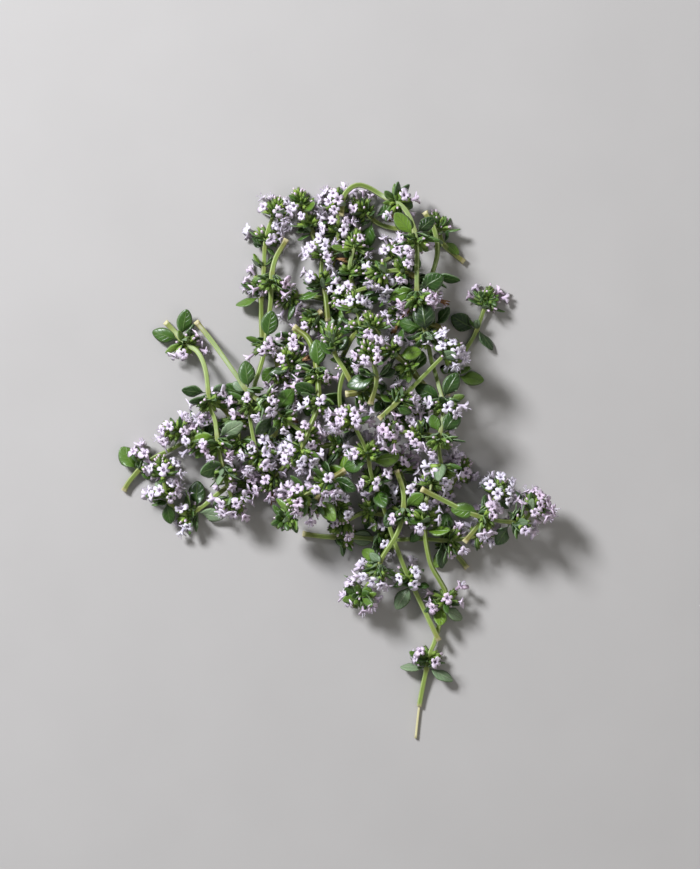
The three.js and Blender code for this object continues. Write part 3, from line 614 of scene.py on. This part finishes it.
def leaf_lines(sprig, index, tree):
    """The leaves of a sprig: each takes the bend whose middle and tip lie nearest the frame's own
    solid, and is left out where no bend lies near it."""
    found = []
    for n, node in enumerate(sprig["nodes"]):
        if node["kind"] in (HEAD, BUDS):
            continue
        start = joint_at(node) - PETIOLE / 2
        low, high = station(sprig, start), station(sprig, start + PETIOLE)
        reach = stem_radius(sprig, start) * math.cos(math.pi / 4)
        for side, known in zip((0, 2), node["known"]):
            heading, grown, facing = known + [None, 1.0, HEADED_FACING][len(known):]
            item = side * 7 + 100
            angle = np.array(node["pair"] + 90.0 * side)
            way = outward(low, angle)
            root = (low[0] + high[0]) / 2 + reach * (way + outward(high, angle)) / 2
            leaf = {
                "root": root, "way": way, "tangent": low[1],
                "width": 1 + spread(0.12, index, n, item + 1),
                "droop": 0.25 + spread(0.25, index, n, item + 2),
                "facing": 0.35 + 0.6 * draw(index, n, item + 3),
                "tone": draw(index, n, item + 6),
                "turned": draw(index, n, item + 7) < 0.1, "over": 0,
            }
            size = 1 + spread(0.13, index, n, item + 4)
            swing = spread(0.3, index, n, item + 5) - 0.1
            toward = way
            if heading is not None:
                a = math.radians(heading)
                toward = np.array([math.cos(a), math.sin(a), HEADED_RISE])
                leaf["facing"] = facing
                leaf["turned"] = (index + 1, n, side) in SEEN_FROM_BELOW
                size, swing = grown, 0
            best, gap = None, NEAR_SOLID
            for lift, more, smaller in LEAF_EASE:
                axis = leaf_axis(toward, low[1], swing + more, lift)
                trial = dict(leaf, size=size * smaller, axis=axis)
                marks = leaf_line(trial, np.array([0.68, 1.0]))[0]
                marks[:, 2] = np.maximum(marks[:, 2], 0)
                off = max(tree.find_nearest(Vector(p * MM))[3] / MM for p in marks)
                if off < gap - 0.05:
                    best, gap = trial, off
            if best:
                over = OVER_STEM.get((index + 1, n, side), 0)
                found.append(dict(best, over=over, width=best["width"] + 0.1 * over))
    return found


def leaf_axis(toward, tangent, swing, lift):
    """Direction in which a leaf leaves the stem."""
    axis = toward + tangent * swing
    axis[2] = np.clip(axis[2], -0.35, 0.5) + lift
    return unit(axis)


def leaf_line(leaf, t):
    """Middle line of a leaf, and its directions to the right and upwards: it leaves along its
    axis, droops as it goes and, over its stem, rises by a quarter wave."""
    bend = unit(leaf["axis"] - leaf["droop"] * t[:, None] * UP)
    length = LEAF_LENGTH * leaf["size"]
    middle = leaf["root"] + 0.4 * leaf["way"] + bend * (t * length)[:, None]
    middle = middle + UP * leaf["over"] * np.sin(np.minimum(t / 0.4, 1) * np.pi / 2)[:, None]
    normal = leaf["tangent"] + (UP - leaf["tangent"]) * leaf["facing"]
    turned = np.minimum(1, t / 0.43)[:, None]
    face = leaf["tangent"] + (normal - leaf["tangent"]) * turned
    right = unit(np.cross(face, bend))
    return middle, right, np.cross(bend, right)


# Rows along a blade, and lanes from its left edge to its right, for large and small leaves
LEAF_ROWS = [0.0, 0.07, 0.13, 0.2, 0.3, 0.42, 0.54, 0.66, 0.78, 0.87, 0.94, 0.98]
LEAF_LANES = [-1, -0.72, -0.4, 0, 0.4, 0.72]
BRACT_ROWS = [0.0, 0.12, 0.3, 0.52, 0.74, 0.92]
BRACT_LANES = [-1, -0.5, 0, 0.5]

# Half the thickness of a blade and half the width of its petiole
BLADE_HALF = 0.16
PETIOLE_HALF = 0.45


def leaf_skin(skin, leaves, rows, lanes):
    """Blades: half-width times sin(pi u^0.9)^0.6 along the leaf, a shallow fold at the midrib,
    edges bent down, a slight ripple and a lens-shaped section. Each closes on its petiole and
    its tip."""
    t = np.array(rows)
    u = np.clip((t - 0.06) / 0.94, 0, 1)
    outline = np.maximum(np.sin(np.pi * u**0.9), 0.0) ** 0.6
    lane = np.concatenate([lanes, np.negative(lanes)])
    below = np.repeat([0.0, 1.0], len(lanes))
    edges = [0, len(lanes)]
    below[edges] = 0.5
    thick = np.where(below > 0.5, -BLADE_HALF, BLADE_HALF) * (1 - lane**2) - 0.02
    thick[edges] = 0
    fold = 0.28 * np.abs(lane) ** 1.2 - 0.42 * lane**4
    for leaf in leaves:
        middle, right, top = leaf_line(leaf, t)
        half = LEAF_WIDTH * leaf["size"] * leaf["width"] / 2
        wide = np.maximum(half * outline, PETIOLE_HALF * min(1, half / 2))
        ripple = 0.16 * np.sin(9 * t + 6 * leaf["tone"])[:, None] * lane[None] ** 2
        rise = (fold * np.minimum(1, wide / half)[:, None] + ripple + thick)[..., None]
        surface = (middle[:, None] + right[:, None] * (wide[:, None] * lane)[..., None]
                   + top[:, None] * rise)
        under = 1 - below if leaf["turned"] else below
        values = {"along": t[:, None], "across": lane[None], "under": under[None],
                  "tone": leaf["tone"]}
        tip = leaf_line(leaf, np.array([1.0]))[0]
        skin.grids(surface[None], values, start=middle[:1] - leaf["way"] * 0.8, end=tip)


# Small leaves: how many stand in the angles of a pair of leaves, among the flowers of a whorl, on a
# head of either kind and in a crown, and how light the darkest are, as elsewhere and at young tips
IN_TUFT = 9
IN_WHORL = 12
ON_HEAD = {HEAD: 12, BUDS: 22}
IN_CROWN = 10
OLD_TONE = 0.16
YOUNG_TONE = 0.45
LIGHTEST = 0.98


def small_places(sprig, index, n, node):
    """Where small leaves grow, as rows of distance along the stem, or none for a crown that faces
    up, angle round it, lean to the tip, size and width."""
    pair, at = node["pair"], node["at"]
    if node["kind"] in ON_HEAD:
        for k in range(ON_HEAD[node["kind"]]):
            share = k / ON_HEAD[node["kind"]]
            yield (at - 3.6 + 4.4 * share, pair + GOLDEN_ANGLE * k, 0.2 + 1.25 * share**1.5,
                   0.85 - 0.53 * share**0.6, 0.62)
        broad = LEAFY.get(index + 1, 0)
        for k in range(IN_CROWN if broad else 0):
            yield None, GOLDEN_ANGLE * k, 0.3 + 0.14 * k, broad * (1 - 0.05 * k), 0.85
        return
    for k in range(IN_TUFT):
        angle = pair + 180 * (k % 2) + spread(75, index, n, k + 200)
        yield joint_at(node) + 0.7, angle, 0.75, 0.5, 0.62
    if node["kind"] == WHORL:
        for k in range(IN_WHORL):
            yield at - 2.2 + 0.1 * k, pair + 150 * k, 0.15, 0.72 - 0.02 * k, 0.6


def small_leaves(sprig, index):
    """Small leaves: a tuft in each angle of a pair of leaves, some among the flowers of a whorl,
    and tiers that turn by the golden angle round a head and its crown."""
    found = []
    for n, node in enumerate(sprig["nodes"]):
        young = node["kind"] == BUDS or node["kind"] == HEAD and index + 1 in LEAFY
        light = YOUNG_TONE if young else OLD_TONE
        places = small_places(sprig, index, n, node)
        for k, (along, angle, lean, size, width) in enumerate(places):
            item = k * 11 + 300
            if along is None:
                place = (station(sprig, node["at"])[0] + 2.4 * UP, UP, *np.eye(3)[:2])
            else:
                place = station(sprig, min(max(along, 0), sprig["length"]))
            way = outward(place, np.array(angle + spread(16, index, n, item)))
            axis = unit(way + place[1] * (lean + spread(0.4, index, n, item + 1)))
            size = size * (1 + spread(0.33, index, n, item + 5))
            root = place[0] + way * 0.6
            if (root + axis * LEAF_LENGTH * size)[2] < 0.3:
                continue
            found.append({
                "root": root, "way": way, "tangent": place[1], "axis": axis, "size": size,
                "width": width * (1 + spread(0.25, index, n, item + 2)),
                "droop": 0.15 + spread(0.2, index, n, item + 6),
                "facing": 0.1 + 0.7 * draw(index, n, item + 3),
                "tone": light + (LIGHTEST - light) * draw(index, n, item + 4),
                "turned": False, "over": 0,
            })
    return found


# Flowers: how many on a head and in a whorl, the fan in which a whorl's stand on each side of the
# stem, the turn from one to the next in it, the lengths of a floret and a bud to the mouth, and the
# share of florets that are spent
ON_DOME = 34
ROUND_STEM = 18
FAN = 150.0
FAN_TURN = 0.381966
FLORET_LENGTH = 6.0
BUD_LENGTH = 3.6
DRY_SHARE = 0.03


def flower_seats(sprig, index):
    """Seats of florets and buds. In a whorl they stand in two clusters, one in the angle of each
    leaf, and lean to the tip. On a head they turn by the golden angle over a dome, and those on
    its top are still buds."""
    parts = []
    for n, node in enumerate(sprig["nodes"]):
        if node["kind"] == LEAVES:
            continue
        head = node["kind"] != WHORL
        count = ON_DOME if head else ROUND_STEM
        i = np.arange(count)
        rise = (i + 0.5) / count
        place = station(sprig, node["at"])
        tangent = place[1]
        bloom = draw(index, n, 590)
        scarce = 0.5 if index + 1 in SHADED else 1
        known = BLOOM.get((index + 1, n))
        if head:
            angle = node["pair"] + GOLDEN_ANGLE * i + spread(14, index, n, 500 + i)
            out = outward(place, angle)
            polar = np.radians(106 - 96 * rise**0.85 + spread(7, index, n, 540 + i))
            way = np.sin(polar)[:, None] * out + np.cos(polar)[:, None] * tangent
            up = tangent * (-2.6 + 4.6 * rise)[:, None]
            base = place[0] + up + out * (0.7 * (1 - 0.5 * rise))[:, None]
            share = known or scarce * (0.36 + 0.32 * bloom)
            able = (node["kind"] == HEAD) & (rise < 0.45 + 0.2 * bloom)
            if index + 1 in LEAFY:
                able = able & (way[:, 2] < 0.6)
        else:
            fan = FAN * (((i // 2) * FAN_TURN) % 1 - 0.5)
            angle = node["pair"] + 180.0 * (i % 2) + fan + spread(9, index, n, 500 + i)
            out = outward(place, angle)
            lean = -0.05 + 0.85 * rise + spread(0.22, index, n, 540 + i)
            way = unit(out + tangent * lean[:, None])
            base = place[0] + tangent * (-2.6 + 2.4 * rise)[:, None] + out * 0.7
            share = known or scarce * (0.2 + 0.33 * bloom)
            able = True
        opened = able & (draw(index, n, 630 + i) < share)
        chance = draw(index, n, 700 + i)
        length = FLORET_LENGTH + spread(1.1, index, n, 730 + i)
        grown = 0.9 - 0.25 * rise * head + spread(0.12, index, n, 760 + i)
        parts.append({
            "root": base, "way": way, "open": opened, "dry": opened & (chance < DRY_SHARE),
            "tube": np.where(opened, length, BUD_LENGTH), "size": np.where(opened, 0.95, grown),
            "tone": 0.65 * draw(index, n, 950) + 0.35 * draw(index, n, 660 + i),
            "chance": chance, "tangent": np.tile(tangent, (count, 1)),
            "sprig": np.full(count, index),
        })
    return joined(parts)


def joined(groups):
    """Groups of flowers made one."""
    return {key: np.concatenate([group[key] for group in groups]) for key in groups[0]}


def picked(flowers, chosen):
    """The flowers for which a choice is true."""
    return {key: value[chosen] for key, value in flowers.items()}


# Room that a floret's mouth, a bud, a stem and a blade keep, and how each pass moves a mouth
FLORET_ROOM = 1.75
BUD_ROOM = 0.75
POST_ROOM = 1.3
BLADE_ROOM = 1.5
PRESSES = 14
MOST_PRESS = 1.2
GIVE = 0.35


def press_apart(flowers, stems, leaves):
    """Florets give way: their mouths are moved apart from each other, from other sprigs' stems
    and from leaves, and put back at their own distance from their roots, in a few passes."""
    root, tube, owner = flowers["root"], flowers["tube"][:, None], flowers["sprig"]
    room = np.where(flowers["open"], FLORET_ROOM, BUD_ROOM)
    least = np.where(flowers["open"], 1.3, 0.7)
    mouth = root + flowers["way"] * tube
    posts = np.concatenate(stems)
    posts_of = np.concatenate([[k] * len(p) for k, p in enumerate(stems)])
    blades = np.concatenate([leaf_line(leaf, np.array([0.35, 0.6, 0.85]))[0] for leaf in leaves])
    for _ in range(PRESSES):
        move = np.zeros_like(mouth)
        for others, other_room, same in (
            (mouth, room, None), (posts, np.full(len(posts), POST_ROOM), posts_of),
            (blades, np.full(len(blades), BLADE_ROOM), None),
        ):
            away = mouth[:, None] - others[None]
            apart = np.sqrt((away**2).sum(-1)) + 1e-6
            press = np.clip(room[:, None] + other_room[None] - apart, 0, MOST_PRESS)
            if same is not None:
                press[owner[:, None] == same[None]] = 0
            elif others is mouth:
                np.fill_diagonal(press, 0)
            move += (away / apart[..., None] * press[..., None]).sum(1)
        mouth = mouth + GIVE * move
        mouth[:, 2] = np.maximum(mouth[:, 2], least)
        mouth = root + unit(mouth - root) * tube
    return unit(mouth - root)


def stand(profile, flowers):
    """Places profiles given as right, up towards the sprig's tip and along each flower."""
    axis = flowers["way"]
    right = unit(np.cross(flowers["tangent"], axis))
    basis = np.stack([right, np.cross(axis, right), axis], 1)
    return flowers["root"][:, None, None] + np.einsum("nrcx,nxk->nrck", profile, basis)


def set_on(skin, flowers, profile, values, start, end):
    """Adds profiles on the flowers, closed by poles at two distances along each flower's axis."""
    first, last = [flowers["root"] + flowers["way"] * along for along in (start, end)]
    skin.grids(stand(profile, flowers), values, first, last)


def seed_of(flowers):
    """Whole numbers that tell flowers apart in further draws."""
    return np.round(flowers["chance"] * 977)


def evenly(columns):
    """Angles evenly round an axis."""
    return np.arange(columns) * 2 * np.pi / columns


def round_axis(rings, a, wide, tall=1.0):
    """Profiles turned round each flower's axis through the angles a, and their rings' shades. A
    ring is a radius, which wide scales, a height, which tall scales, and a shade."""
    profile = np.zeros((len(wide), len(rings), a.shape[-1], 3))
    for r, (radius, height, _) in enumerate(rings):
        profile[:, r, :, 0] = np.cos(a) * radius * wide
        profile[:, r, :, 1] = np.sin(a) * radius * wide
        profile[:, r, :, 2] = height * tall
    return profile, np.array([[shade] for _, _, shade in rings])


# How far a wilted floret's lobes still reach
WILT = 0.42

# Rim of a floret from the middle of its upper lip round to its right: the angle and the share of
# a lobe's reach. The upper lip is notched, and three lobes make the lower lip.
RIM = [(90, 0.8), (73, 1.0), (52, 0.86), (38, 0.1), (24, 0.82), (4, 1.05), (-18, 0.9),
       (-33, 0.12), (-49, 0.85), (-70, 1.1), (-90, 1.15)]


def floret_skin(skin, flowers, wilt=1):
    """Florets: a tube that opens into two lips, its rim 0.8 mm from the axis in the notches and
    2 to 2.5 mm at the lobes. Each lobe has its own length and bend. An outer and an inner skin
    meet at the lobes' edges. A wilted floret has shorter lobes that fold in."""
    half = np.array(RIM)
    left = half[-2:0:-1] * [-1, 1] + [180, 0]
    a = np.radians(np.concatenate([half[:, 0], left[:, 0]]))[::-1]
    part = np.concatenate([half[:, 1], left[:, 1]])[::-1]
    upper, lower = np.clip(np.sin(a), 0, 1), np.clip(-np.sin(a), 0, 1)
    lobe_of = np.where(upper > 0.45, 0, np.where(lower > 0.8, 1, np.where(np.cos(a) > 0, 2, 3)))
    seed = seed_of(flowers)[:, None]
    own = draw(seed, 1, lobe_of[None] * 3 + 1)
    bent = draw(seed, 2, lobe_of[None] * 3 + 2)
    reach = (0.66 + part * (1.0 + 0.55 * own) * (1 + 0.2 * lower)) * wilt
    size = 0.9 + 0.25 * draw(seed, 3, 1)
    roll = spread(0.6, seed, 4, 1)
    length = flowers["tube"][:, None]
    fold = part * (1.7 * bent - 0.75) + 0.4 * upper**2 + 2.4 * (1 - wilt) * part
    # The innermost ring's value of 0.05 gives the darkest colour, in the throat: partly its own
    # mauve, partly painted shade
    profile, lobe = round_axis([
        (0.36, 0.60 * length, 0.45),
        (0.60, 0.90 * length, 0.6),
        (reach, length + fold, 1.0),
        (0.46 + 0.2 * (reach - 0.66), length + 0.2 * fold, 0.75),
        (0.30, 0.88 * length, 0.05),
    ], a + roll, size)
    values = {"lobe": lobe, "tone": flowers["tone"][:, None, None]}
    set_on(skin, flowers, profile, values, 0.55 * length, 0.78 * length)


def bud_skin(skin, flowers):
    """The petals of a bud: a small egg that stands out of the closed calyx."""
    grow = flowers["size"][:, None]
    rings = [(0.34, 2.9, 0.5), (0.56, 3.7, 0.8), (0.42, 4.5, 1.0)]
    profile, lobe = round_axis(rings, evenly(6), grow, grow)
    set_on(skin, flowers, profile, {"lobe": lobe, "tone": 1.0}, 2.7 * grow, 4.8 * grow)


def calyx_skin(flowers):
    """Calyces: bells with five pointed teeth and ribs between them, open round a floret and drawn
    together on a bud."""
    a = evenly(10)
    tooth = (np.arange(len(a)) % 2 == 0).astype(float)
    wide = np.where(flowers["open"], 1.0, 0.92)[:, None]
    mouth = np.where(flowers["open"], 0.85, 0.42)[:, None]
    grow = flowers["size"][:, None]
    profile, end = round_axis([
        (0.30, -0.2, 0.0),
        (0.28, 0.9, 0.0),
        (0.66 * wide * (0.9 + 0.1 * tooth), 1.5, 0.1),
        (0.90 * wide * (0.9 + 0.1 * tooth), 2.5, 0.3),
        (0.88 * wide * (0.5 + 0.5 * mouth / 0.85), 3.4, 0.6),
        (mouth * (0.85 + 0.4 * tooth), 3.6 + 0.9 * tooth, 1.0),
        (0.6 * mouth, 3.3, 0.5),
    ], a, grow, grow)
    # Every other column is a raised rib, which carries a painted highlight
    values = {"tooth": end * (0.4 + 0.6 * tooth), "rib": tooth,
              "tone": draw(seed_of(flowers), 5, 1)[:, None, None]}
    skin = Skin()
    set_on(skin, flowers, profile, values, -0.3 * grow, 2.6 * grow)
    return skin


# Places along a stamen, its thickness there, and how much of the anther's colour it has
STAMEN_ALONG = np.array([0.0, 0.5, 0.88, 0.94, 1.0])
STAMEN_THICK = np.array([0.10, 0.09, 0.08, 0.18, 0.12])
STAMEN_END = np.array([0, 0, 0.5, 1, 1])


def stamen_skin(flowers):
    """Stamens: threads that leave the throat, spread and stand out past the lobes, with a thicker
    end."""
    a = evenly(4)
    seed = seed_of(flowers)
    t, thick = STAMEN_ALONG, STAMEN_THICK[:, None]
    skin = Skin()
    for k in range(3):
        turn = 2.1 * k + 2 * seed[:, None]
        start = 0.85 * flowers["tube"][:, None]
        far = flowers["tube"][:, None] + 0.9 + 1.2 * draw(seed, k, 6)[:, None]
        sideways = 0.12 + (0.3 + 0.7 * draw(seed, k, 7))[:, None] * t**1.6
        profile = np.zeros((len(seed), len(t), len(a), 3))
        profile[..., 0] = (np.cos(turn) * sideways)[..., None] + thick * np.cos(a)
        profile[..., 1] = (np.sin(turn) * sideways)[..., None] + thick * np.sin(a)
        profile[..., 2] = (start + (far - start) * t)[..., None]
        surface = stand(profile, flowers)
        skin.grids(surface, {"end": STAMEN_END[:, None]}, start=surface[:, 0].mean(1),
                   end=surface[:, -1].mean(1) + flowers["way"] * 0.1)
    return skin


def sprig_skins(sprig, index, leaves, flowers):
    """The skins of one sprig's pieces by name. Two in five buds show their petals, and three in
    five florets their stamens."""
    bark = sprig["bark"]
    blades, petals, spent = Skin(), Skin(), Skin()
    leaf_skin(blades, leaves, LEAF_ROWS, LEAF_LANES)
    leaf_skin(blades, small_leaves(sprig, index), BRACT_ROWS, BRACT_LANES)
    bud_skin(petals, picked(flowers, ~flowers["open"] & (flowers["chance"] > 0.6)))
    fresh = picked(flowers, flowers["open"] & ~flowers["dry"])
    floret_skin(petals, fresh)
    floret_skin(spent, picked(flowers, flowers["dry"]), WILT)
    return {
        "stem": stem_skin(sprig, index, max(0, bark - 0.6), sprig["length"], False),
        "wood": stem_skin(sprig, index, 0, bark, True) if bark else Skin(),
        "leaves": blades,
        "calyces": calyx_skin(flowers),
        "florets": petals,
        "stamens": stamen_skin(picked(fresh, fresh["chance"] > 0.4)),
        "spent": spent,
    }


def build_sprigs():
    """The whole heap. All sprigs are laid out and settled before their flowers give way, and
    each sprig's pieces replace its node of the frame."""
    sprigs = [lay_out(way) for way in SPRIGS]
    settle(sprigs)
    nodes = [f"sprig_{k + 1:02d}" for k in range(len(sprigs))]
    depsgraph = bpy.context.evaluated_depsgraph_get()
    trees = [BVHTree.FromObject(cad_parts[name], depsgraph) for name in nodes]
    leaves = [leaf_lines(s, k, trees[k]) for k, s in enumerate(sprigs)]
    flowers = joined([flower_seats(s, k) for k, s in enumerate(sprigs)])
    flowers["way"] = press_apart(flowers, [s["points"] for s in sprigs], sum(leaves, []))
    stem = stem_material()
    finish = {
        "stem": (stem, "stem"), "wood": (stem, "pith"), "leaves": (leaf_material(), "leaf"),
        "calyces": (calyx_material(), "calyx"), "florets": (petal_material(), "petal"),
        "stamens": (stamen_material(), "petal"), "spent": (withered_material(), "withered"),
    }
    for k, (sprig, node) in enumerate(zip(sprigs, nodes)):
        mine = picked(flowers, flowers["sprig"] == k)
        for part, skin in sprig_skins(sprig, k, leaves[k], mine).items():
            skin.piece(f"{node}_{part}", *finish[part], node)


# Camera: straight above the heap with a long lens, framed as the photo is
VIEW_HEIGHT = 0.9
VIEW_TALL = 0.3042
VIEW_CENTRE = (0.00435, 0.0085)
SENSOR = 36.0
FLOOR_HALF = 1.6


def make_camera():
    """The camera, with the lens that shows the picture's longer side from its height."""
    data = bpy.data.cameras.new("camera")
    data.sensor_fit = "AUTO"
    data.sensor_width = SENSOR
    data.lens = SENSOR * VIEW_HEIGHT / VIEW_TALL
    camera = placed("camera", data)
    camera.location = (*VIEW_CENTRE, VIEW_HEIGHT)
    bpy.context.scene.camera = camera


def make_floor():
    """A plain pale floor, wide enough for every view."""
    mesh = bpy.data.meshes.new("floor")
    turn = ((-1, -1), (1, -1), (1, 1), (-1, 1))
    corners = [(x * FLOOR_HALF, y * FLOOR_HALF, 0) for x, y in turn]
    mesh.from_pydata(corners, [], [(0, 1, 2, 3)])
    material, tree, shader = new_material("pale_matt_floor", Roughness=0.8)
    shade = mixed(tree, noise(tree, 40), linear("#AFADA8"), linear("#B6B4AF"))
    tree.links.new(shade, shader.inputs["Base Color"])
    mesh.materials.append(material)
    floor = placed("floor", mesh)


def make_lamp(name, place, size, power, colour):
    """A round lamp that faces the heap."""
    data = bpy.data.lights.new(name, "AREA")
    data.shape = "DISK"
    data.size = size
    data.energy = power
    data.color = linear(colour)[:3]
    lamp = placed(name, data)
    lamp.location = place
    lamp.rotation_euler = (-Vector(place)).to_track_quat("-Z", "Y").to_euler()


def make_light():
    """Soft window light from the upper left of the picture, with a weak, even fill."""
    make_lamp("window", (-0.7, 0.65, 0.85), size=0.32, power=25, colour="#F5F6FF")
    make_lamp("fill", (0.8, -0.5, 1.0), size=1.2, power=2.5, colour="#FFF4EA")
    world = bpy.data.worlds.new("studio")
    world.use_nodes = True
    background = world.node_tree.nodes["Background"]
    background.inputs["Color"].default_value = linear("#E0E3E8")
    background.inputs["Strength"].default_value = 0.3
    bpy.context.scene.world = world
    bpy.context.scene.view_settings.view_transform = "Standard"


make_camera()
make_floor()
make_light()
build_sprigs()
